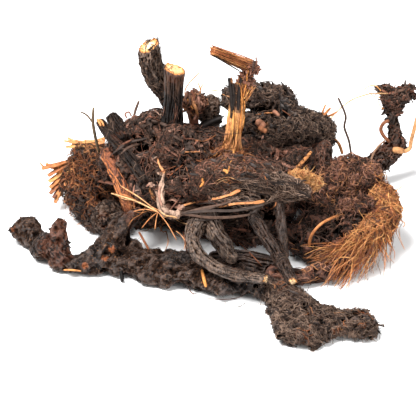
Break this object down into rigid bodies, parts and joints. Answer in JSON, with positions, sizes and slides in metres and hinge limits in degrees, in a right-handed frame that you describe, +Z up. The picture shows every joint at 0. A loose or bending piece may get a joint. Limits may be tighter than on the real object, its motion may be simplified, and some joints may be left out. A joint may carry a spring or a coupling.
{
  "type": "nutgrass root",
  "caption": "Dried, tangled clump of nutgrass rootstock: dark matted rhizomes, cut stems, tan husks, straw blades and copper root hair, lying on a surface.",
  "frame": {"origin": "on the surface that the clump lies on, under the middle of its box", "axes": "+X along the clump's long side, +Y away from its front, +Z up"},
  "size_m": [0.1748, 0.1446, 0.0893],
  "materials": {
    "earth": "dull, earthy, matted with fine root hair",
    "bark": "dry ridged bark, dull with faint sheen",
    "rust": "dull reddish brown fibre",
    "tan": "dry fibrous, matt",
    "straw": "dry straw, matt",
    "copper": "coir-like root hair, matt",
    "wood": "split stem wood, matt"
  },
  "bodies": {
    "root": {"front_rhizome": "earth", "front_right_rhizome": "earth", "left_tuber": "earth", "upper_rhizome": "earth", "left_mat": "earth", "back_rhizome_left": "earth", "back_rhizome_right": "earth", "stem_front": "bark", "stem_tall": "bark", "stem_dark_a": "bark", "stem_dark_b": "bark", "loop_root": "bark", "diagonal_root": "bark", "centre_bark": "bark", "grey_lump": "bark", "dark_stump": "bark", "ground_root": "bark", "back_stub": "bark", "back_root": "bark", "wire_dark": "rust", "rolled_bark": "rust", "under_root": "rust", "far_right_root": "rust", "right_mat": "rust", "crown_mat": "rust", "back_mat": "rust", "stem_tan_left": "tan", "sprout": "tan", "husk_left": "tan", "tan_rootlet": "tan", "front_arc_rootlet": "tan", "grey_rootlet": "tan", "straw_rays": "straw", "dried_blades": "straw", "straw_sheath": "straw", "husk_upper_left": "straw", "arc_rootlet": "straw", "edge_rootlet": "straw", "torn_husk": "straw", "copper_rootlet": "copper", "copper_tuft": "copper", "stem_broken": "wood"}
  },
  "joints": []
}
